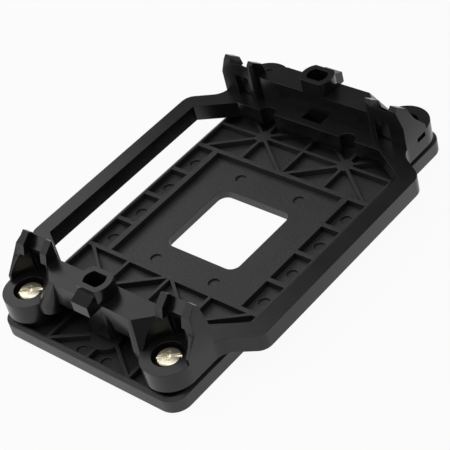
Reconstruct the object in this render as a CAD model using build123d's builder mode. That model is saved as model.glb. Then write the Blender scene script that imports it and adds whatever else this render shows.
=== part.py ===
"""Cooler retention frame screwed to its ribbed backplate: millimetres, +Z up, long side along Y."""

import os
from math import atan2, cos, hypot, radians, sin, tan

from build123d import *

os.makedirs("parts", exist_ok=True)

# Screw pattern, shared by every piece
screw_span_wide = 48.0
screw_span_long = 96.0
board_gap = 1.5

# Backplate
plate_margin_x = 6.6
plate_margin_y = 7.7
plate_thickness = 4.4
plate_corner_radius = 4.8
plate_bevel_height = 1.0
plate_bevel_width = 0.55
rib_height = 1.85
rib_width = 1.35
star_rib_width = 0.95
rim_width = 1.5
recess_width = 43.2
recess_length = 44.1
window_side = 24.2
window_corner_radius = 2.7
side_wall_width = 1.9
side_pocket_count = 4
hub_x = 14.2
hub_from_recess = 11.1
hub_radius = 2.3
star_angle = 37.0
pad_inset = 9.0
pad_radius = 4.3
fan_inset = 10.9
fan_angle = 34.0
insert_boss_radius = 5.2

# Threaded inserts
insert_flange_across = 7.0
insert_flange_height = 1.0
insert_barrel_radius = 2.5
insert_fit = 0.03

# Mounting screws
screw_shank_radius = 1.75
screw_head_radius = 3.4
screw_head_height = 2.3
screw_head_rim = 1.0
screw_dome_inset = 1.3
screw_reach = 6.8
screw_fit = 0.03
recess_arm_width = 1.0
recess_cross_span = 4.0
recess_cross_depth = 1.5
screw_turns = (-20.0, 35.0, 70.0, 10.0)

# Retention frame: bars, arms and lugs
frame_half_width = 40.1
bar_width = 4.8
ring_height = 5.0
lug_radius = 7.1
lug_rise = 0.6
lug_counterbore_radius = 4.15
lug_counterbore_depth = 2.9
lug_hole_clearance = 0.25
arm_run = 10.9
arm_rise = 6.7
arm_outer_round = 4.0
arm_root_round = 5.0
shelf_depth = 4.75
notch_x = 13.8
notch_radius = 2.4
core_slot_half_width = 3.3
core_slot_depth = 2.5
side_key_length = 3.4
side_key_height = 1.4
side_key_depth = 0.6
side_key_from_screw = 2.1
side_key_below_lug = 0.5

# Retention frame: end rails, bosses and clip hooks
rail_height = 7.2
rail_depth = 7.15
rail_corner_from_screw = 9.9
rail_end_from_screw = 4.1
rail_plate = 2.0
rail_wall = 1.7
skirt_arch_radius = 6.3
boss_height = 4.1
boss_radius = 4.75
bore_radius = 2.95
bore_half_flat = 2.15
hook_half_width = 2.8
hook_length = 3.2
hook_below_rail = 1.9
hook_rise_inner = 2.8
hook_rise_outer = 1.3

# Retention frame: forked towers
tower_half_width = 5.25
tower_proud = 1.45
tower_edge_round = 1.8
tower_prong_height = 5.2
tower_shoulder_drop = 1.0
tower_ridge_setback = 1.05
tower_roof_depth = 4.0
tower_roof_drop = 2.3
tower_brow_lean = 0.9
tower_brow_below_rail = 0.5
gusset_reach = 8.8
gusset_end_rise = 1.4
fork_half_width = 3.0
fork_sill_drop = 1.4
fork_fall = 2.8
access_radius = 6.2
tower_window_half_width = 2.35
tower_window_height = 6.8
wing_top_width = 1.5
wing_root_share = 0.11
wing_drop = 2.2
lobe_radius = 3.6
lobe_from_screw = 7.5
lobe_inset = 0.3
lobe_first_angle = 72.0
lobe_last_angle = 175.0
lobe_facets = 4

# Levels and places that follow from the sizes above
screw_x = screw_span_wide / 2
screw_y = screw_span_long / 2
plate_half_x = screw_x + plate_margin_x
plate_half_y = screw_y + plate_margin_y
plate_floor = plate_thickness - rib_height
frame_bottom = plate_thickness + board_gap
ring_top = frame_bottom + ring_height
lug_top = ring_top + lug_rise
rail_top = ring_top + rail_height
boss_top = rail_top + boss_height
tower_top = rail_top + tower_prong_height
rail_outer_y = screw_y
rail_inner_y = rail_outer_y - rail_depth
ring_end_y = rail_inner_y - shelf_depth
tower_inner_y = rail_inner_y - tower_proud
boss_y = rail_inner_y + rail_depth / 2
bar_inner_x = frame_half_width - bar_width
lug_side_x = screw_x + lug_radius
screw_seat = lug_top - lug_counterbore_depth


# Backplate: a slab with pockets sunk between its rim, walls and ribs
recess_rib_y = recess_length / 2 + rib_width / 2
middle_half_length = recess_length / 2 + rib_width
hub_y = recess_length / 2 + hub_from_recess
pad_y = plate_half_y - pad_inset
fan_y = plate_half_y - fan_inset
field_half_x = plate_half_x - rim_width
field_half_y = plate_half_y - rim_width
side_pocket_pitch = (recess_length + rib_width) / side_pocket_count
side_pocket_width = field_half_x - recess_width / 2 - side_wall_width
side_pocket_x = field_half_x - side_pocket_width / 2
rim_middle_x = plate_half_x - rim_width / 2
rim_middle_y = plate_half_y - rim_width / 2
star_slope = tan(radians(star_angle))
fan_slope = tan(radians(fan_angle))

with BuildPart() as backplate:
    with BuildSketch():
        RectangleRounded(2 * plate_half_x, 2 * plate_half_y, plate_corner_radius)
    extrude(amount=plate_thickness)
    top = backplate.faces().sort_by(Axis.Z)[-1]
    chamfer(top.edges(), plate_bevel_height, plate_bevel_width, reference=top)
    with BuildSketch(Plane.XY.offset(plate_floor)):
        # the two end fields, inside the rim and clear of the middle
        RectangleRounded(2 * field_half_x, 2 * field_half_y, plate_corner_radius - rim_width)
        Rectangle(2 * field_half_x, 2 * middle_half_length, mode=Mode.SUBTRACT)
        # the sunk middle and the pockets along both sides
        Rectangle(recess_width, recess_length)
        with GridLocations(2 * side_pocket_x, side_pocket_pitch, 2, side_pocket_count):
            Rectangle(side_pocket_width, side_pocket_pitch - rib_width)
        # star ribs and fan ribs of both ends
        with BuildLine():
            for sy in (1, -1):
                Line((0, sy * recess_rib_y), (0, sy * rim_middle_y))
                Line((-rim_middle_x, sy * hub_y), (rim_middle_x, sy * hub_y))
                for sx in (1, -1):
                    Line((sx * hub_x, sy * recess_rib_y), (sx * hub_x, sy * rim_middle_y))
                    inner_x = hub_x - (hub_y - recess_rib_y) / star_slope
                    outer_y = hub_y + (rim_middle_x - hub_x) * star_slope
                    Line((sx * inner_x, sy * recess_rib_y), (sx * rim_middle_x, sy * outer_y))
                    outer_x = hub_x + (hub_y - recess_rib_y) / star_slope
                    pad_end_y = hub_y + hub_x * star_slope
                    Line((sx * outer_x, sy * recess_rib_y), (0, sy * pad_end_y))
                    fan_x = (rim_middle_y - fan_y) / fan_slope
                    Line((0, sy * fan_y), (sx * fan_x, sy * rim_middle_y))
        trace(line_width=star_rib_width, mode=Mode.SUBTRACT)
        with GridLocations(2 * hub_x, 2 * hub_y, 2, 2):
            Circle(hub_radius, mode=Mode.SUBTRACT)
        with GridLocations(0, 2 * pad_y, 1, 2):
            Circle(pad_radius, mode=Mode.SUBTRACT)
        with GridLocations(screw_span_wide, screw_span_long, 2, 2):
            Circle(insert_boss_radius, mode=Mode.SUBTRACT)
    extrude(amount=rib_height, mode=Mode.SUBTRACT)
    with BuildSketch():
        RectangleRounded(window_side, window_side, window_corner_radius)
    extrude(amount=plate_thickness, mode=Mode.SUBTRACT)
    # seats of the inserts, open to the underside
    with BuildSketch():
        with GridLocations(screw_span_wide, screw_span_long, 2, 2):
            RegularPolygon(insert_flange_across / 2 + insert_fit, 6, major_radius=False)
    extrude(amount=insert_flange_height, mode=Mode.SUBTRACT)
    with BuildSketch():
        with GridLocations(screw_span_wide, screw_span_long, 2, 2):
            Circle(insert_barrel_radius + insert_fit)
    extrude(amount=plate_thickness, mode=Mode.SUBTRACT)
backplate.part.label = "backplate"
export_step(backplate.part, "parts/backplate.step")


# Tower beside one screw: a forked hood with a gusset that runs down to the lug
tower_side_x = screw_x - tower_half_width
shoulder_z = tower_top - tower_shoulder_drop
ridge_y = tower_inner_y + tower_ridge_setback
roof_y = tower_inner_y + tower_roof_depth
brow_y = roof_y + tower_brow_lean
brow_z = rail_top - tower_brow_below_rail
gusset_end_y = tower_inner_y + gusset_reach
fork_z = tower_top - fork_sill_drop
sill_y = screw_y - access_radius
rail_corner_x = screw_x - rail_corner_from_screw
rail_end_y = screw_y - rail_end_from_screw
root_x = tower_side_x + wing_root_share * (tower_side_x - rail_corner_x)
root_y = rail_end_y - wing_root_share * (rail_outer_y - rail_end_y)
lobe_x = screw_x - lobe_from_screw
lobe_y = screw_y - lobe_inset
lobe_step = (lobe_last_angle - lobe_first_angle) / lobe_facets
lobe_angles = [radians(lobe_first_angle + lobe_step * n) for n in range(lobe_facets + 1)]
lobe_foot = [(lobe_x + lobe_radius * cos(a), lobe_y + lobe_radius * sin(a)) for a in lobe_angles]
wing_foot = [*lobe_foot, (root_x, root_y)]
wing_top = [
    (rail_corner_x, rail_outer_y),
    (rail_corner_x - wing_top_width, rail_outer_y),
    (root_x, root_y),
]

with BuildPart() as tower:
    # front view: upright sides, the outer one stepping out to the lug's side
    with BuildSketch(Plane.XZ):
        with BuildLine():
            Polyline(
                (tower_side_x, ring_top),
                (lug_side_x, ring_top),
                (lug_side_x, brow_z),
                (screw_x + tower_half_width, shoulder_z),
                (screw_x + tower_half_width, tower_top),
                (tower_side_x, tower_top),
                close=True,
            )
        make_face()
    extrude(amount=-gusset_end_y)
    # side view: roofed prong, brow and sloping gusset
    with BuildSketch(Plane.YZ):
        with BuildLine():
            Polyline(
                (tower_inner_y, ring_top),
                (tower_inner_y, shoulder_z),
                (ridge_y, tower_top),
                (roof_y, tower_top - tower_roof_drop),
                (brow_y, brow_z),
                (gusset_end_y, lug_top + gusset_end_rise),
                (gusset_end_y, ring_top),
                close=True,
            )
        make_face()
    extrude(amount=lug_side_x, mode=Mode.INTERSECT)
    upright = tower.edges().filter_by(Axis.Z).sort_by_distance((tower_side_x, tower_inner_y, ring_top))[0]
    fillet(upright, tower_edge_round)
    # lobed wing that leans from the end of the rail to the lug, and its foot beside the lug
    ConvexPolyhedron(
        [
            *((x, y, ring_top) for x, y in wing_foot),
            *((x, y, rail_top) for x, y in wing_top),
        ]
    )
    with BuildSketch(Plane.XY.offset(ring_top)):
        with BuildLine():
            Polyline(*wing_foot, close=True)
        make_face()
    extrude(amount=-wing_drop)
    # fork between the two prongs, open to the screw beyond a narrow sill
    with BuildSketch(Plane.YZ.offset(screw_x)):
        with BuildLine():
            Polyline(
                (tower_inner_y, tower_top),
                (tower_inner_y, fork_z),
                (sill_y, fork_z - fork_fall),
                (sill_y, lug_top),
                (screw_y, lug_top),
                (screw_y, tower_top),
                close=True,
            )
        make_face()
    extrude(amount=fork_half_width, both=True, mode=Mode.SUBTRACT)
    # round access to the screw
    with BuildSketch(Plane.XY.offset(lug_top)):
        with Locations((screw_x, screw_y)):
            Circle(access_radius)
    extrude(amount=rail_top - lug_top, mode=Mode.SUBTRACT)
    # window through the back wall
    with BuildSketch(Plane.XZ.offset(-tower_inner_y)):
        with Locations((screw_x, ring_top + tower_window_height / 2)):
            Rectangle(2 * tower_window_half_width, tower_window_height)
    extrude(amount=-rail_depth, mode=Mode.SUBTRACT)


# Frame: a quarter is shaped and mirrored to an end, and the end is mirrored to the other end
wall_outer_y = rail_inner_y + rail_wall
arm_corner_x = bar_inner_x - arm_run
arm_shift_y = bar_width * hypot(arm_run, arm_rise) / arm_run
outer_corner_y = ring_end_y + arm_shift_y - (frame_half_width - arm_corner_x) * arm_rise / arm_run
arm_root_y = ring_end_y + arm_shift_y - (lug_side_x - arm_corner_x) * arm_rise / arm_run
arm_side_length = (frame_half_width - lug_side_x) * hypot(arm_run, arm_rise) / arm_run
round_limit = 0.45 * arm_side_length / tan(atan2(arm_run, arm_rise) / 2)

with BuildPart() as frame:
    # bars, arms, shelf and lug
    with BuildSketch(Plane.XY.offset(frame_bottom)) as plan:
        with BuildLine():
            Polyline(
                (bar_inner_x, 0),
                (frame_half_width, 0),
                (frame_half_width, outer_corner_y),
                (lug_side_x, arm_root_y),
                (lug_side_x, screw_y),
                (screw_x - lug_radius, screw_y),
                (screw_x - lug_radius, wall_outer_y),
                (0, wall_outer_y),
                (0, ring_end_y),
                (arm_corner_x, ring_end_y),
                (bar_inner_x, ring_end_y - arm_rise),
                close=True,
            )
        make_face()
        outer_corner = plan.vertices().sort_by_distance((frame_half_width, outer_corner_y))[0]
        fillet(outer_corner, min(arm_outer_round, round_limit))
        root_corner = plan.vertices().sort_by_distance((lug_side_x, arm_root_y))[0]
        fillet(root_corner, min(arm_root_round, round_limit))
        with Locations((notch_x, ring_end_y)):
            Circle(notch_radius, mode=Mode.SUBTRACT)
    extrude(amount=ring_height)
    with BuildSketch(Plane.XY.offset(frame_bottom)):
        with Locations((screw_x, screw_y)):
            Circle(lug_radius)
    extrude(amount=lug_top - frame_bottom)
    add(tower.part)
    mirror(about=Plane.YZ)
    # end rail: inner wall, top plate, outer skirt and slanted ends, open to below
    with BuildSketch(Plane.XY.offset(ring_top)) as rail_plan:
        with BuildLine():
            Polyline(
                (tower_side_x, rail_inner_y),
                (tower_side_x, rail_end_y),
                (rail_corner_x, rail_outer_y),
                (-rail_corner_x, rail_outer_y),
                (-tower_side_x, rail_end_y),
                (-tower_side_x, rail_inner_y),
                close=True,
            )
        make_face()
    extrude(amount=rail_height)
    with BuildSketch(Plane.XY.offset(ring_top)):
        offset(rail_plan.sketch.faces()[0], amount=-rail_wall)
    extrude(amount=rail_height - rail_plate, mode=Mode.SUBTRACT)
    with BuildSketch(Plane.XZ.offset(-rail_outer_y)):
        with Locations((0, ring_top)):
            Circle(skirt_arch_radius)
    extrude(amount=rail_wall, mode=Mode.SUBTRACT)
    # keyed boss, and the hook that a spring clip catches
    with BuildSketch(Plane.XY.offset(frame_bottom)):
        with Locations((0, boss_y)):
            Circle(boss_radius)
            Rectangle(2 * boss_radius, rail_depth, mode=Mode.INTERSECT)
    extrude(amount=boss_top - frame_bottom)
    with BuildSketch(Plane.XY.offset(frame_bottom)):
        with Locations((0, boss_y)):
            Circle(bore_radius)
            Rectangle(2 * bore_radius, 2 * bore_half_flat, mode=Mode.INTERSECT)
    extrude(amount=boss_top - frame_bottom, mode=Mode.SUBTRACT)
    with BuildSketch(Plane.YZ):
        with BuildLine():
            Polyline(
                (rail_outer_y, rail_top - hook_below_rail),
                (rail_outer_y + hook_length, rail_top - hook_below_rail),
                (rail_outer_y + hook_length, rail_top + hook_rise_outer),
                (rail_outer_y, rail_top + hook_rise_inner),
                close=True,
            )
        make_face()
    extrude(amount=hook_half_width, both=True)
    # slot through the shelf in front of the boss
    with BuildSketch(Plane.XY.offset(frame_bottom)):
        with Locations((0, rail_inner_y - core_slot_depth / 2)):
            Rectangle(2 * core_slot_half_width, core_slot_depth)
    extrude(amount=ring_height, mode=Mode.SUBTRACT)
    mirror(about=Plane.XZ)
    # small keys sunk in the outer sides of two opposite lugs
    for side in (1, -1):
        with BuildSketch(Plane.YZ.offset(side * lug_side_x)):
            with Locations((side * (screw_y - side_key_from_screw), lug_top - side_key_below_lug)):
                Rectangle(side_key_length, side_key_height, align=(Align.CENTER, Align.MAX))
        extrude(amount=-side * side_key_depth, mode=Mode.SUBTRACT)
    # stepped screw holes
    with Locations((0, 0, lug_top)):
        with GridLocations(screw_span_wide, screw_span_long, 2, 2):
            CounterBoreHole(
                screw_shank_radius + lug_hole_clearance,
                lug_counterbore_radius,
                lug_counterbore_depth,
                lug_top - frame_bottom,
            )
frame.part.label = "retention_frame"
export_step(frame.part, "parts/retention_frame.step")


# Threaded inserts: a hexagonal flange under the plate and a barrel that the lug rests on
with BuildPart() as insert:
    with BuildSketch():
        RegularPolygon(insert_flange_across / 2, 6, major_radius=False)
    extrude(amount=insert_flange_height)
    with BuildSketch():
        Circle(insert_barrel_radius)
    extrude(amount=frame_bottom)
    with BuildSketch():
        Circle(screw_shank_radius + screw_fit)
    extrude(amount=frame_bottom, mode=Mode.SUBTRACT)

with BuildPart() as threaded_inserts:
    with GridLocations(screw_span_wide, screw_span_long, 2, 2):
        add(insert.part)
threaded_inserts.part.label = "threaded_inserts"
export_step(threaded_inserts.part, "parts/threaded_inserts.step")


# Mounting screws: a pan head, coned towards its top, with a cross recess
with BuildPart() as screw:
    with BuildSketch(Plane.XZ):
        with BuildLine():
            Polyline(
                (0, -screw_reach),
                (screw_shank_radius, -screw_reach),
                (screw_shank_radius, 0),
                (screw_head_radius, 0),
                (screw_head_radius, screw_head_rim),
                (screw_head_radius - screw_dome_inset, screw_head_height),
                (0, screw_head_height),
                close=True,
            )
        make_face()
    revolve(axis=Axis.Z)
    with BuildSketch(Plane.XY.offset(screw_head_height)):
        Rectangle(recess_cross_span, recess_arm_width)
        Rectangle(recess_arm_width, recess_cross_span)
    extrude(amount=-recess_cross_depth, mode=Mode.SUBTRACT)

with BuildPart() as mounting_screws:
    for turn, (sx, sy) in zip(screw_turns, ((-1, -1), (1, -1), (-1, 1), (1, 1))):
        with Locations(Location((sx * screw_x, sy * screw_y, screw_seat), (0, 0, turn))):
            add(screw.part)
mounting_screws.part.label = "mounting_screws"
export_step(mounting_screws.part, "parts/mounting_screws.step")
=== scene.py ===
"""Cooler retention frame on its ribbed backplate.

Adds the fine forms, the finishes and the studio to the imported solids. Sizes are in
millimetres, except those of the floor and the lamps, which are in metres.
"""

import logging
from dataclasses import dataclass
from enum import Enum
from math import cos, pi, radians, sin
from typing import Iterable, Union

import bmesh
import bpy
from mathutils import Matrix, Vector


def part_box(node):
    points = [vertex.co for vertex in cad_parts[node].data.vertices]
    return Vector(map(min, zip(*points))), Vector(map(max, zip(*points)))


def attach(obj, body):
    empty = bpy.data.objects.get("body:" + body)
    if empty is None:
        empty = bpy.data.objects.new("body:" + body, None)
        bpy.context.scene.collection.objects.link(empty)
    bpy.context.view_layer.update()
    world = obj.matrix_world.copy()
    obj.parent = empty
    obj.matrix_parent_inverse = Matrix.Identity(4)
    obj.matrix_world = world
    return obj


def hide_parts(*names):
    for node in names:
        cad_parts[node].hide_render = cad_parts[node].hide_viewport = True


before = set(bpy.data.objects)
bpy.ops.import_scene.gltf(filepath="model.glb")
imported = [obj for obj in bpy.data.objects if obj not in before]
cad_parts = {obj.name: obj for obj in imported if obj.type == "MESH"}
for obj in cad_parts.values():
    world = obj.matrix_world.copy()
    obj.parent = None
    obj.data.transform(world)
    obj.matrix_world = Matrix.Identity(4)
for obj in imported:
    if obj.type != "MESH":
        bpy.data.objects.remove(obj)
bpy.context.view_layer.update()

LOG = logging.getLogger("retention_frame")
MM = 0.001
BODY = "root"
ROUND_LAYER = "rounds"

WELD = 0.002 * MM  # points closer than this are one
COPLANAR = radians(0.6)  # faces that meet flatter than this are one flat
FLAT = radians(1.0)  # an edge flatter than this doesn't bend the surface
SMOOTH = radians(30.0)  # an edge flatter than this is part of a curve
UPRIGHT = 0.1  # largest upward part of an upright face's normal
IN_LINE = 1e-12  # area in square metres below which three points are in line
PLACES = 7  # decimals, in metres, to which points are compared

Colour = tuple[float, float, float]
Pair = tuple[float, float]


class Ray(Enum):
    """Kinds of light ray that see the floor as plain white."""

    CAMERA = "Is Camera Ray"
    GLOSSY = "Is Glossy Ray"
    TRANSMISSION = "Is Transmission Ray"


class Field:
    """A shader socket that takes part in Python arithmetic."""

    def __init__(self, graph: "ShaderGraph", socket: bpy.types.NodeSocket) -> None:
        """Keeps the socket and the graph that it belongs to."""
        self.graph = graph
        self.socket = socket

    def _math(self, operation: str, first: "Term", second: "Term" = 0.0) -> "Field":
        """Adds one Math node and returns its value."""
        return self.graph.node("ShaderNodeMath", {"operation": operation}, {0: first, 1: second})

    def __add__(self, other: "Term") -> "Field":
        """Sum of two values."""
        return self._math("ADD", self, other)

    __radd__ = __add__

    def __sub__(self, other: "Term") -> "Field":
        """Difference of two values."""
        return self._math("SUBTRACT", self, other)

    def __rsub__(self, other: "Term") -> "Field":
        """Difference with the value on the right."""
        return self._math("SUBTRACT", other, self)

    def __mul__(self, other: "Term") -> "Field":
        """Product of two values."""
        return self._math("MULTIPLY", self, other)

    __rmul__ = __mul__

    def sine(self) -> "Field":
        """Sine of the value."""
        return self._math("SINE", self)

    def either(self, other: "Term") -> "Field":
        """The larger of two values."""
        return self._math("MAXIMUM", self, other)

    def stretch(self, low: float, high: float) -> "Field":
        """The value stretched so that low becomes 0 and high becomes 1, and held there."""
        ends = {"Value": self, "From Min": low, "From Max": high}
        return self.graph.node("ShaderNodeMapRange", {"clamp": True}, ends)


Term = Union[Field, float]


class ShaderGraph:
    """The node tree of one material or world."""

    def __init__(self, owner: Union[bpy.types.Material, bpy.types.World]) -> None:
        """Takes the owner's node tree and empties it."""
        owner.use_nodes = True
        self.tree = owner.node_tree
        self.tree.nodes.clear()

    def node(
        self,
        kind: str,
        settings: Union[dict, None] = None,
        sockets: Union[dict, None] = None,
        out: Union[str, int] = 0,
    ) -> Union[Field, None]:
        """Adds a node.

        Args:
            kind: Blender's name for the node's type.
            settings: properties of the node, set before its sockets.
            sockets: values or fields for its inputs, by name or index.
            out: name or index of the output to return.

        Returns:
            The chosen output, or None for a node that has no output.
        """
        made = self.tree.nodes.new(kind)
        for key, value in (settings or {}).items():
            setattr(made, key, value)
        for key, value in (sockets or {}).items():
            if isinstance(value, Field):
                self.tree.links.new(value.socket, made.inputs[key])
            else:
                made.inputs[key].default_value = value
        return Field(self, made.outputs[out]) if made.outputs else None

    def place(self) -> Field:
        """The point on the surface, in metres of the shared frame."""
        return self.node("ShaderNodeTexCoord", out="Object")

    def noise(self, size_mm: float, place: Field, detail: float) -> Field:
        """Soft noise whose spots are about size_mm across, from 0 to 1."""
        sockets = {"Vector": place, "Scale": 1 / (size_mm * MM), "Detail": detail}
        return self.node("ShaderNodeTexNoise", None, sockets)

    def mix(self, share: Term, first: Colour, second: Colour) -> Field:
        """A colour between two colours."""
        sockets = {0: share, 6: (*first, 1.0), 7: (*second, 1.0)}
        return self.node("ShaderNodeMix", {"data_type": "RGBA"}, sockets, out=2)

    def relief(self, height: Field, depth_mm: float) -> Field:
        """A surface normal that shows height as relief of that depth."""
        return self.node("ShaderNodeBump", None, {"Distance": depth_mm * MM, "Height": height})

    def sees_white(self) -> Field:
        """1 for rays that see the floor as plain white, 0 for those that light the object."""
        rays = [self.node("ShaderNodeLightPath", out=ray.value) for ray in Ray]
        return rays[0].either(rays[1]).either(rays[2])


@dataclass(frozen=True)
class MouldedPlastic:
    """Black moulded plastic with the fine eroded grain of its mould."""

    name: str
    colour: Colour
    flow_colour: Colour
    roughness: float
    roughness_spread: float
    grain_size: float
    grain_depth: float
    flow_size: float = 9.0
    flow_range: Pair = (0.35, 0.65)
    flow_share: float = 0.6
    mottle_ratio: float = 2.2
    refraction: float = 1.45

    def material(self) -> bpy.types.Material:
        """Makes the material.

        Returns:
            The material, with its colour, gloss and grain on Object coordinates.
        """
        made = bpy.data.materials.new(self.name)
        graph = ShaderGraph(made)
        place = graph.place()
        grain = graph.noise(self.grain_size, place, detail=3.0)
        flow = graph.noise(self.flow_size, place, detail=2.0).stretch(*self.flow_range)
        mottle = graph.noise(self.mottle_ratio * self.grain_size, place, detail=1.0)
        tone = flow * self.flow_share + mottle * (1 - self.flow_share)
        unevenness = 0.5 * flow + grain - 0.75  # 0 on average
        surface = graph.node(
            "ShaderNodeBsdfPrincipled",
            None,
            {
                "Base Color": graph.mix(tone, self.colour, self.flow_colour),
                "Roughness": self.roughness + self.roughness_spread * unevenness,
                "IOR": self.refraction,
                "Normal": graph.relief(grain + 0.5 * mottle, self.grain_depth),
            },
        )
        graph.node("ShaderNodeOutputMaterial", None, {"Surface": surface})
        return made


@dataclass(frozen=True)
class TurnedMetal:
    """Bright metal with faint turning rings about the four screw axes."""

    name: str
    colour: Colour
    dull_colour: Colour
    roughness: float
    axis_x: float
    axis_y: float
    ring_pitch: float = 0.18
    ring_depth: float = 0.0003
    spot_size: float = 0.8
    spot_range: Pair = (0.4, 0.7)
    spot_roughness: float = 0.04

    def material(self) -> bpy.types.Material:
        """Makes the material.

        Returns:
            The material, with its rings about the screw axes of all four corners.
        """
        made = bpy.data.materials.new(self.name)
        graph = ShaderGraph(made)
        place = graph.place()
        folded = graph.node("ShaderNodeVectorMath", {"operation": "ABSOLUTE"}, {0: place})
        from_axis = graph.node(
            "ShaderNodeVectorMath",
            {"operation": "SUBTRACT"},
            {0: folded, 1: (self.axis_x * MM, self.axis_y * MM, 0.0)},
        )
        flat = graph.node(
            "ShaderNodeVectorMath",
            {"operation": "MULTIPLY"},
            {0: from_axis, 1: (1.0, 1.0, 0.0)},
        )
        radius = graph.node(
            "ShaderNodeVectorMath", {"operation": "LENGTH"}, {0: flat}, out="Value"
        )
        rings = (radius * (2 * pi / (self.ring_pitch * MM))).sine()
        spots = graph.noise(self.spot_size, place, detail=3.0).stretch(*self.spot_range)
        surface = graph.node(
            "ShaderNodeBsdfPrincipled",
            None,
            {
                "Base Color": graph.mix(spots, self.colour, self.dull_colour),
                "Metallic": 1.0,
                "Roughness": self.roughness + self.spot_roughness * spots,
                "Normal": graph.relief(rings, self.ring_depth),
            },
        )
        graph.node("ShaderNodeOutputMaterial", None, {"Surface": surface})
        return made


def merged_copy(node: str) -> bmesh.types.BMesh:
    """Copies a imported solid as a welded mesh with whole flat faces.

    Args:
        node: name of the solid.

    Returns:
        The copy.
    """
    copy = bmesh.new()
    copy.from_mesh(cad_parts[node].data)
    weld_flats(copy)
    return copy


def weld_flats(mesh: bmesh.types.BMesh) -> None:
    """Welds a mesh's points and joins its coplanar faces."""
    bmesh.ops.remove_doubles(mesh, verts=mesh.verts, dist=WELD)
    bmesh.ops.dissolve_limit(mesh, angle_limit=COPLANAR, verts=mesh.verts, edges=mesh.edges)


def round_edges(
    mesh: bmesh.types.BMesh, radius_mm: float, segments: int, sharper_than: float
) -> None:
    """Rounds the outward edges that are sharper than an angle, and marks the faces of the rounds.

    Args:
        mesh: the mesh to change.
        radius_mm: distance that the round takes from each face.
        segments: faces across a round.
        sharper_than: angle between two faces, in degrees, above which their edge is rounded.
    """
    limit = radians(sharper_than)
    outward = [edge for edge in mesh.edges if edge.is_manifold and edge.is_convex]
    sharp = [edge for edge in outward if edge.calc_face_angle() > limit]
    rounds = mesh.faces.layers.int.new(ROUND_LAYER)
    made = bmesh.ops.bevel(
        mesh,
        geom=sharp,
        offset=radius_mm * MM,
        offset_type="OFFSET",
        affect="EDGES",
        segments=segments,
        profile=0.5,
        material=-1,
        clamp_overlap=False,
        loop_slide=False,
    )
    for face in made["faces"]:
        face[rounds] = 1


@dataclass(frozen=True)
class RoundWall:
    """An upright round wall, by its axis and radius in metres."""

    axis: Vector
    radius: float

    def holds(self, face: bmesh.types.BMFace, slack: float) -> bool:
        """Whether all corners of a face stand on the wall."""
        reaches = ((vert.co.xy - self.axis).length for vert in face.verts)
        return all(abs(reach - self.radius) < slack for reach in reaches)

    def normal(self, point: Vector, facing: Vector) -> Vector:
        """The wall's own normal at a point, on the side that a face looks to."""
        radial = (point.xy - self.axis).normalized().to_3d()
        return radial if radial.dot(facing) > 0 else -radial


def circle_through(points: list[Vector]) -> Union[RoundWall, None]:
    """Finds the round wall through the first, middle and last of some points.

    Args:
        points: points of the wall as seen from above, in metres.

    Returns:
        The wall, or None where the points are in line.
    """
    first, middle, last = points[0], points[len(points) // 2], points[-1]
    one, two = middle - first, last - first
    area = 2 * one.cross(two)
    if abs(area) < IN_LINE:
        return None
    x = (two.y * one.length_squared - one.y * two.length_squared) / area
    y = (one.x * two.length_squared - two.x * one.length_squared) / area
    return RoundWall(first + Vector((x, y)), Vector((x, y)).length)


def round_walls(mesh: bmesh.types.BMesh) -> list[RoundWall]:
    """Finds the upright round walls of a faceted mesh.

    Args:
        mesh: the mesh before its edges are rounded.

    Returns:
        One wall for each axis and radius.
    """
    walls: list[RoundWall] = []
    for edge in mesh.edges:
        pair = edge.link_faces
        if len(pair) != 2 or not FLAT < edge.calc_face_angle() < SMOOTH:
            continue
        if any(abs(face.normal.z) > UPRIGHT for face in pair):
            continue
        if any(all(wall.holds(face, WELD) for face in pair) for wall in walls):
            continue
        corners = [vert for face in pair for vert in face.verts]
        spots = {(round(vert.co.x, PLACES), round(vert.co.y, PLACES)) for vert in corners}
        if len(spots) < 3:
            continue
        wall = circle_through([Vector(spot) for spot in sorted(spots)])
        if wall is None or not all(wall.holds(face, 2 * WELD) for face in pair):
            continue
        near = {face for vert in corners for face in vert.link_faces}
        upright = [face for face in near if abs(face.normal.z) < UPRIGHT]
        if sum(wall.holds(face, 2 * WELD) for face in upright) > len(pair):
            walls.append(wall)
    return walls


def true_normals(
    mesh: bmesh.types.BMesh, walls: list[RoundWall], slack_mm: float
) -> list[Vector]:
    """Works out a normal for each face corner, so that flats stay flat and round walls round.

    Args:
        mesh: the finished mesh.
        walls: its upright round walls.
        slack_mm: how far a corner may stand from a wall that it belongs to.

    Returns:
        The normals, in the order of the faces and their corners.
    """
    rounds = mesh.faces.layers.int.get(ROUND_LAYER)
    mesh.normal_update()
    own: dict[tuple[int, int], Vector] = {}
    mesh.faces.index_update()
    mesh.verts.index_update()
    for face in mesh.faces:
        if face[rounds]:
            continue
        upright = abs(face.normal.z) < UPRIGHT
        wall = next((w for w in walls if upright and w.holds(face, slack_mm * MM)), None)
        for loop in face.loops:
            if wall:
                own[face.index, loop.vert.index] = wall.normal(loop.vert.co, face.normal)
                continue
            total = Vector()
            for other in loop.vert.link_loops:
                alike = other.face.normal.angle(face.normal, pi) < SMOOTH
                if alike and not other.face[rounds]:
                    total += other.face.normal * other.calc_angle()
            mean = total.normalized() if total.length else face.normal
            own[face.index, loop.vert.index] = mean
    result = []
    for face in mesh.faces:
        for vert in (loop.vert for loop in face.loops):
            if (face.index, vert.index) in own:
                result.append(own[face.index, vert.index])
                continue
            keys = [(near.index, vert.index) for near in vert.link_faces]
            plain = [own[key] for key in keys if key in own]
            if plain:
                result.append(max(plain, key=face.normal.dot))
            else:
                total = sum((near.normal for near in vert.link_faces), Vector())
                result.append(total.normalized())
    return result


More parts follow.
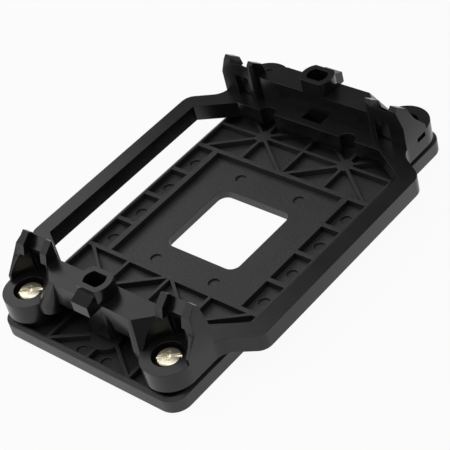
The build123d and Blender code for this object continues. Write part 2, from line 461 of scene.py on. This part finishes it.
def new_piece(name: str, mesh: bmesh.types.BMesh) -> bpy.types.Object:
    """Makes a smooth-shaded object at the origin from a mesh.

    Args:
        name: name of the piece.
        mesh: its mesh, which is used up.

    Returns:
        The object.
    """
    for face in mesh.faces:
        face.smooth = True
    data = bpy.data.meshes.new(name)
    mesh.to_mesh(data)
    mesh.free()
    piece = bpy.data.objects.new(name, data)
    bpy.context.scene.collection.objects.link(piece)
    return piece


def cut_away(body: bmesh.types.BMesh, cutter: bmesh.types.BMesh) -> bmesh.types.BMesh:
    """Takes one closed mesh away from another.

    Args:
        body: the mesh to cut, which is used up.
        cutter: what is taken away, which is used up.

    Returns:
        The cut mesh.
    """
    block = new_piece("cut_block", body)
    tool = new_piece("cut_tool", cutter)
    step = block.modifiers.new("cut", "BOOLEAN")
    step.operation = "DIFFERENCE"
    step.solver = "EXACT"
    step.use_self = True
    step.object = tool
    bpy.context.view_layer.update()
    cut = block.evaluated_get(bpy.context.evaluated_depsgraph_get())
    result = bmesh.new()
    result.from_mesh(cut.to_mesh())
    cut.to_mesh_clear()
    for spent in (block, tool):
        bpy.data.objects.remove(spent)
    return result


def in_order(mesh: bmesh.types.BMesh) -> bmesh.types.BMesh:
    """Puts a mesh's points and faces in a fixed order, because a cut's order differs each run.

    Args:
        mesh: the mesh, which is used up.

    Returns:
        The same form, in the same order each run.
    """
    ordered = bmesh.new()
    spots = sorted({vert.co[:] for vert in mesh.verts})
    verts = {spot: ordered.verts.new(spot) for spot in spots}
    outlines = []
    for face in mesh.faces:
        outline = [vert.co[:] for vert in face.verts]
        first = outline.index(min(outline))
        outlines.append(outline[first:] + outline[:first])
    for outline in sorted(outlines):
        ordered.faces.new([verts[spot] for spot in outline])
    mesh.free()
    return ordered


def even_shading(piece: bpy.types.Object) -> None:
    """Keeps large faces flat beside small rounds."""
    step = piece.modifiers.new("even_shading", "WEIGHTED_NORMAL")
    step.mode = "FACE_AREA"
    step.keep_sharp = True


def settle(
    piece: bpy.types.Object, node: str, material: bpy.types.Material
) -> None:
    """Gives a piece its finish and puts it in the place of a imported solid.

    Args:
        piece: the finished piece.
        node: name of the solid that it stands for.
        material: the finish.
    """
    piece.data.materials.clear()
    piece.data.materials.append(material)
    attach(piece, BODY)
    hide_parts(node)


@dataclass
class Moulding:
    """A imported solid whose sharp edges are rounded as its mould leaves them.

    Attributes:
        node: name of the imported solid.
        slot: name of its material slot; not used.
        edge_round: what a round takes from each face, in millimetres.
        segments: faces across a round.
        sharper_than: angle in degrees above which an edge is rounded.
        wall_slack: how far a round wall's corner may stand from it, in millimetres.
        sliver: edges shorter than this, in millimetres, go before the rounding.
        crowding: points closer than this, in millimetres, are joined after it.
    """

    node: str
    slot: str
    edge_round: float
    segments: int = 2
    sharper_than: float = 28.0
    wall_slack: float = 0.03
    sliver: float = 0.0
    crowding: float = 0.0

    def shape(self) -> bmesh.types.BMesh:
        """The form before its edges are rounded."""
        return merged_copy(self.node)

    def build(self) -> bpy.types.Object:
        """Makes the piece.

        Returns:
            The piece, not yet dressed.
        """
        mesh = self.shape()
        walls = round_walls(mesh)
        if self.sliver:
            bmesh.ops.dissolve_degenerate(mesh, dist=self.sliver * MM, edges=mesh.edges)
        round_edges(mesh, self.edge_round, self.segments, self.sharper_than)
        if self.crowding:
            bmesh.ops.remove_doubles(mesh, verts=mesh.verts, dist=self.crowding * MM)
        normals = true_normals(mesh, walls, self.wall_slack)
        piece = new_piece(f"{self.node}_finished", mesh)
        piece.data.normals_split_custom_set(normals)
        LOG.info("%s has %d round walls", self.node, len(walls))
        return piece

    def finish(self) -> Union[MouldedPlastic, TurnedMetal]:
        """The finish of the piece."""
        raise NotImplementedError

    def dress(self, piece: bpy.types.Object) -> None:
        """Gives the piece its finish and its place."""
        settle(piece, self.node, self.finish().material())


@dataclass
class RetentionFrame(Moulding):
    """The moulded frame with its bars, lugs, rails, hooks and forked towers."""

    node: str = "retention_frame"
    slot: str = "frame_plastic"
    edge_round: float = 0.08
    sliver: float = 0.22
    crowding: float = 0.03

    def finish(self) -> MouldedPlastic:
        """Satin black plastic."""
        return MouldedPlastic(
            name="satin_black_plastic",
            colour=(0.007, 0.007, 0.007),
            flow_colour=(0.011, 0.011, 0.0105),
            roughness=0.24,
            roughness_spread=0.07,
            grain_size=0.22,
            grain_depth=0.010,
        )


@dataclass
class Backplate(Moulding):
    """The ribbed plate below the board, with shallow ejector marks in its floors."""

    node: str = "backplate"
    slot: str = "plate_plastic"
    edge_round: float = 0.12
    floor_height: float = 2.55
    mark_radius: float = 1.5
    mark_depth: float = 0.5
    mark_segments: int = 32
    pocket_x: float = 26.3
    pocket_pitch: float = 11.3625
    pocket_rows: int = 4
    recess_mark_x: float = 10.1
    recess_mark_y: float = 17.65
    end_mark_x: float = 4.3
    end_mark_y: float = 52.0

    def marks(self) -> Iterable[Pair]:
        """Gives the middles of the marks.

        Yields:
            One middle after another, in millimetres.
        """
        first_row = -(self.pocket_rows - 1) / 2 * self.pocket_pitch
        rows = [first_row + row * self.pocket_pitch for row in range(self.pocket_rows)]
        for side in (-1, 1):
            yield from ((side * self.pocket_x, row) for row in rows)
            for end in (-1, 1):
                yield side * self.recess_mark_x, end * self.recess_mark_y
                yield side * self.end_mark_x, end * self.end_mark_y

    def shape(self) -> bmesh.types.BMesh:
        """Cuts the marks into the plate's floors.

        Returns:
            The plate before its edges are rounded.
        """
        cutters = bmesh.new()
        for x, y in self.marks():
            bmesh.ops.create_cone(
                cutters,
                cap_ends=True,
                segments=self.mark_segments,
                radius1=self.mark_radius * MM,
                radius2=self.mark_radius * MM,
                depth=2 * self.mark_depth * MM,
                matrix=Matrix.Translation(Vector((x, y, self.floor_height)) * MM),
            )
        cut = cut_away(merged_copy(self.node), cutters)
        weld_flats(cut)
        return cut

    def finish(self) -> MouldedPlastic:
        """Grained black plastic, a little rougher than the frame's."""
        return MouldedPlastic(
            name="grained_black_plastic",
            colour=(0.022, 0.022, 0.023),
            flow_colour=(0.034, 0.034, 0.036),
            roughness=0.42,
            roughness_spread=0.14,
            grain_size=0.36,
            grain_depth=0.075,
            refraction=1.53,
        )


@dataclass
class ThreadedInserts(Moulding):
    """Four brass inserts with hexagonal flanges, pressed into the plate."""

    node: str = "threaded_inserts"
    slot: str = "insert_metal"
    edge_round: float = 0.12
    flange_half_width: float = 3.5

    def finish(self) -> TurnedMetal:
        """Turned brass."""
        _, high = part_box(self.node)
        _, screw_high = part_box("mounting_screws")
        return TurnedMetal(
            name="turned_brass",
            colour=(0.70, 0.53, 0.24),
            dull_colour=(0.52, 0.38, 0.17),
            roughness=0.3,
            axis_x=screw_high.x / MM - MountingScrews.head_radius,
            axis_y=high.y / MM - self.flange_half_width,
        )


@dataclass
class MountingScrews:
    """Four pan-head screws with a slot across a cross recess, in millimetres and degrees."""

    node: str = "mounting_screws"
    slot: str = "screw_metal"
    head_radius: float = 3.4
    head_height: float = 2.3
    head_rim: float = 0.8
    crown_radius: float = 2.6
    crown_sag: float = 0.05
    shank_radius: float = 1.75
    thread_root: float = 1.42
    thread_pitch: float = 0.6
    tip_length: float = 0.5
    tip_share: float = 0.7
    spare_turns: int = 3
    reach: float = 6.8
    slot_width: float = 0.96
    slot_depth: float = 0.6
    cross_span: float = 4.0
    cross_width: float = 1.0
    cross_depth: float = 1.5
    cross_taper: float = 0.55
    edge_round: float = 0.03
    round_segments: int = 2
    sharper_than: float = 32.0
    shoulder_steps: int = 6
    steps: int = 56
    turns: tuple[float, float, float, float] = (40.0, 35.0, 70.0, 10.0)

    def head_profile(self) -> list[Pair]:
        """Works out the head's outline.

        Returns:
            Radii and heights from the middle of its top to the middle of its seat.
        """
        drop = self.head_height - self.crown_sag - self.head_rim
        shoulder = self.head_radius - self.crown_radius
        count = self.shoulder_steps
        quarter = [radians(90 * step / count) for step in range(count + 1)]
        radii = [self.crown_radius + shoulder * sin(turn) for turn in quarter]
        heights = [self.head_rim + drop * cos(turn) for turn in quarter]
        seat = [(self.head_radius, 0.0), (self.thread_root, 0.0), (0.0, 0.0)]
        return [(0.0, self.head_height), *zip(radii, heights), *seat]

    def head(self) -> bmesh.types.BMesh:
        """Turns the head and cuts its slot and cross recess.

        Returns:
            The head, with its seat at height 0.
        """
        body = bmesh.new()
        outline = [body.verts.new((r * MM, 0.0, z * MM)) for r, z in self.head_profile()]
        runs = [body.edges.new(pair) for pair in zip(outline, outline[1:])]
        bmesh.ops.spin(
            body,
            geom=outline + runs,
            cent=(0, 0, 0),
            axis=(0, 0, 1),
            angle=2 * pi,
            steps=self.steps,
            use_merge=True,
        )
        bmesh.ops.remove_doubles(body, verts=body.verts, dist=WELD)
        bmesh.ops.recalc_face_normals(body, faces=body.faces)
        return in_order(cut_away(body, self.recess()))

    def recess(self) -> bmesh.types.BMesh:
        """Makes the slot and the tapered cross.

        Returns:
            The solid that is cut out of the head.
        """
        bars = bmesh.new()
        past_rim = 3 * self.head_radius
        cross = (self.cross_span, self.cross_width, self.cross_depth, self.cross_taper)
        self.bar(bars, past_rim, self.slot_width, self.slot_depth, 1.0, 0.0)
        for turn in (0.0, 90.0):
            self.bar(bars, *cross, turn)
        return bars

    def bar(
        self,
        bars: bmesh.types.BMesh,
        span: float,
        width: float,
        depth: float,
        taper: float,
        turn: float,
    ) -> None:
        """Adds one bar of the recess.

        Args:
            bars: the mesh that the bar joins.
            span: its length, in millimetres.
            width: its width, in millimetres.
            depth: how far it reaches below the top of the head, in millimetres.
            taper: length of its floor as a share of its length at the top, and its width
                narrows half as much.
            turn: its angle about the screw's axis, in degrees.
        """
        made = bmesh.ops.create_cube(bars, size=1.0)["verts"]
        bmesh.ops.scale(bars, vec=Vector((span, width, 2 * depth)) * MM, verts=made)
        floor = [vert for vert in made if vert.co.z < 0]
        bmesh.ops.scale(bars, vec=(taper, 0.5 + taper / 2, 1.0), verts=floor)
        lift = Matrix.Translation((0, 0, self.head_height * MM))
        turned = lift @ Matrix.Rotation(radians(turn), 4, "Z")
        bmesh.ops.transform(bars, matrix=turned, verts=made)

    def thread(self) -> bmesh.types.BMesh:
        """Winds the thread, trims its ends flat and adds the tip.

        Returns:
            The shank below the head, whose seat is at height 0.
        """
        body = bmesh.new()
        length = self.reach - self.tip_length
        count = int(length / self.thread_pitch)
        pitch = length / count
        heights = (0.0, 0.5 * pitch, pitch)
        radii = (self.thread_root, self.shank_radius, self.thread_root)
        start = -length - (self.spare_turns - 1) * pitch
        crest = [body.verts.new((r * MM, 0.0, (start + z) * MM)) for r, z in zip(radii, heights)]
        runs = [body.edges.new(pair) for pair in zip(crest, crest[1:])]
        around = self.steps // 2
        windings = count + self.spare_turns
        bmesh.ops.spin(
            body,
            geom=crest + runs,
            cent=(0, 0, 0),
            axis=(0, 0, 1),
            dvec=(0, 0, pitch * MM / around),
            angle=2 * pi * windings,
            steps=around * windings,
            use_merge=False,
        )
        bmesh.ops.remove_doubles(body, verts=body.verts, dist=WELD)
        inside_head = 0.5 * pitch
        for height, outward in ((inside_head, 1.0), (-length, -1.0)):
            bmesh.ops.bisect_plane(
                body,
                geom=body.verts[:] + body.edges[:] + body.faces[:],
                plane_co=(0, 0, height * MM),
                plane_no=(0, 0, outward),
                clear_outer=True,
            )
        open_edges = [edge for edge in body.edges if edge.is_boundary]
        bmesh.ops.holes_fill(body, edges=open_edges, sides=0)
        bmesh.ops.recalc_face_normals(body, faces=body.faces)
        bmesh.ops.create_cone(
            body,
            cap_ends=True,
            segments=around,
            radius1=self.tip_share * self.thread_root * MM,
            radius2=self.thread_root * MM,
            depth=2 * self.tip_length * MM,
            matrix=Matrix.Translation((0, 0, -length * MM)),
        )
        return in_order(body)

    def build(self) -> bpy.types.Object:
        """Makes the four screws as one piece.

        Returns:
            The piece, not yet dressed.
        """
        single = self.head()
        weld_flats(single)
        round_edges(single, self.edge_round, self.round_segments, self.sharper_than)
        shank = bpy.data.meshes.new("shank")
        self.thread().to_mesh(shank)
        single.from_mesh(shank)
        pattern = bpy.data.meshes.new("screw")
        single.to_mesh(pattern)
        single.free()
        _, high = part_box(self.node)
        middle_x = high.x - self.head_radius * MM
        middle_y = high.y - self.head_radius * MM
        seat = high.z - self.head_height * MM
        group = bmesh.new()
        corners = ((-1, -1), (1, -1), (-1, 1), (1, 1))
        for turn, (side, end) in zip(self.turns, corners):
            before = len(group.verts)
            group.from_mesh(pattern)
            group.verts.ensure_lookup_table()
            stand = Matrix.Translation((side * middle_x, end * middle_y, seat))
            stand = stand @ Matrix.Rotation(radians(turn), 4, "Z")
            bmesh.ops.transform(group, matrix=stand, verts=group.verts[before:])
        piece = new_piece(f"{self.node}_finished", group)
        even_shading(piece)
        return piece

    def finish(self) -> TurnedMetal:
        """Pale gold plating."""
        _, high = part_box(self.node)
        return TurnedMetal(
            name="pale_gold_plating",
            colour=(0.97, 0.92, 0.76),
            dull_colour=(0.94, 0.85, 0.62),
            roughness=0.28,
            axis_x=high.x / MM - self.head_radius,
            axis_y=high.y / MM - self.head_radius,
        )

    def dress(self, piece: bpy.types.Object) -> None:
        """Gives the screws their finish and their place."""
        settle(piece, self.node, self.finish().material())


@dataclass(frozen=True)
class SoftBox:
    """A large soft lamp that looks at the object, in metres and watts."""

    name: str
    place: tuple[float, float, float]
    width: float
    height: float
    power: float

    def build(self) -> None:
        """Adds the lamp."""
        data = bpy.data.lights.new(self.name, "AREA")
        data.shape = "RECTANGLE"
        data.size = self.width
        data.size_y = self.height
        data.energy = self.power
        lamp = bpy.data.objects.new(self.name, data)
        lamp.location = self.place
        lamp.rotation_euler = Vector(self.place).to_track_quat("Z", "Y").to_euler()
        bpy.context.scene.collection.objects.link(lamp)


@dataclass
class Studio:
    """Pale floor, even surroundings and soft lamps."""

    floor_half: float = 6.0
    floor_gap: float = 0.05 * MM
    floor_colour: Colour = (0.86, 0.86, 0.86)
    floor_glow: float = 0.93
    sky_light: float = 0.17
    lamps: tuple[SoftBox, ...] = (
        SoftBox("left_box", (-0.66, 0.12, 0.67), width=0.68, height=0.70, power=1.9),
        SoftBox("overhead_box", (0.08, -0.08, 0.90), width=0.7, height=0.7, power=2.3),
        SoftBox("front_box", (-0.46, -0.70, 0.40), width=0.6, height=0.5, power=1.3),
    )

    def floor_material(self) -> bpy.types.Material:
        """Makes the floor's material.

        Returns:
            A pale surface, nearly white to the eye, that keeps shadows and is clear from below.
        """
        made = bpy.data.materials.new("pale_floor")
        graph = ShaderGraph(made)
        matt = graph.node("ShaderNodeBsdfDiffuse", None, {"Color": (*self.floor_colour, 1.0)})
        white = graph.node("ShaderNodeEmission", None, {"Color": (1, 1, 1, 1), "Strength": 1.0})
        share = graph.sees_white() * self.floor_glow
        topside = graph.node("ShaderNodeMixShader", None, {0: share, 1: matt, 2: white})
        below = graph.node("ShaderNodeNewGeometry", out="Backfacing")
        clear = graph.node("ShaderNodeBsdfTransparent")
        surface = graph.node("ShaderNodeMixShader", None, {0: below, 1: topside, 2: clear})
        graph.node("ShaderNodeOutputMaterial", None, {"Surface": surface})
        return made

    def build(self) -> None:
        """Adds the floor, the surroundings and the lamps."""
        mesh = bmesh.new()
        drop = Matrix.Translation((0.0, 0.0, -self.floor_gap))
        bmesh.ops.create_grid(
            mesh, x_segments=1, y_segments=1, size=self.floor_half, matrix=drop
        )
        floor = new_piece("floor", mesh)
        floor.data.materials.append(self.floor_material())
        world = bpy.data.worlds.new("even_surroundings")
        bpy.context.scene.world = world
        graph = ShaderGraph(world)
        light = {"Color": (1, 1, 1, 1), "Strength": self.sky_light}
        sky = graph.node("ShaderNodeBackground", None, light)
        graph.node("ShaderNodeOutputWorld", None, {"Surface": sky})
        for lamp in self.lamps:
            lamp.build()
        bpy.context.scene.view_settings.view_transform = "Standard"


@dataclass(frozen=True)
class PhotoCamera:
    """The camera at the photograph's viewing angle, in degrees and millimetres."""

    azimuth: float = 50.12
    elevation: float = 39.5
    roll: float = -15.531
    distance: float = 413.405
    lens: float = 126.84
    sensor: float = 36.0
    nearest: float = 10.0
    farthest: float = 20000.0
    target: tuple[float, float, float] = (0.059, -0.642, 4.4)

    def build(self) -> None:
        """Adds the camera and makes it the scene's own."""
        angles = (self.azimuth, self.elevation, self.roll)
        around, above, roll = (radians(angle) for angle in angles)
        back = Vector((sin(around) * cos(above), -cos(around) * cos(above), sin(above)))
        right = Vector((cos(around), sin(around), 0.0))
        up = back.cross(right)
        across = cos(roll) * right + sin(roll) * up
        upright = cos(roll) * up - sin(roll) * right
        stand = Matrix((across, upright, back)).transposed().to_4x4()
        stand.translation = (Vector(self.target) + back * self.distance) * MM
        data = bpy.data.cameras.new("photo_camera")
        data.lens = self.lens
        data.sensor_width = self.sensor
        data.clip_start = self.nearest * MM
        data.clip_end = self.farthest * MM
        camera = bpy.data.objects.new("photo_camera", data)
        camera.matrix_world = stand
        bpy.context.scene.collection.objects.link(camera)
        bpy.context.scene.camera = camera


def main() -> None:
    """Builds and dresses the pieces, and sets the studio and the camera."""
    logging.basicConfig(level=logging.INFO, format="%(name)s: %(message)s")
    for assembly in (RetentionFrame(), Backplate(), ThreadedInserts(), MountingScrews()):
        piece = assembly.build()
        assembly.dress(piece)
        LOG.info("%s has %d faces", piece.name, len(piece.data.polygons))
    Studio().build()
    PhotoCamera().build()


if __name__ == "__main__":
    main()
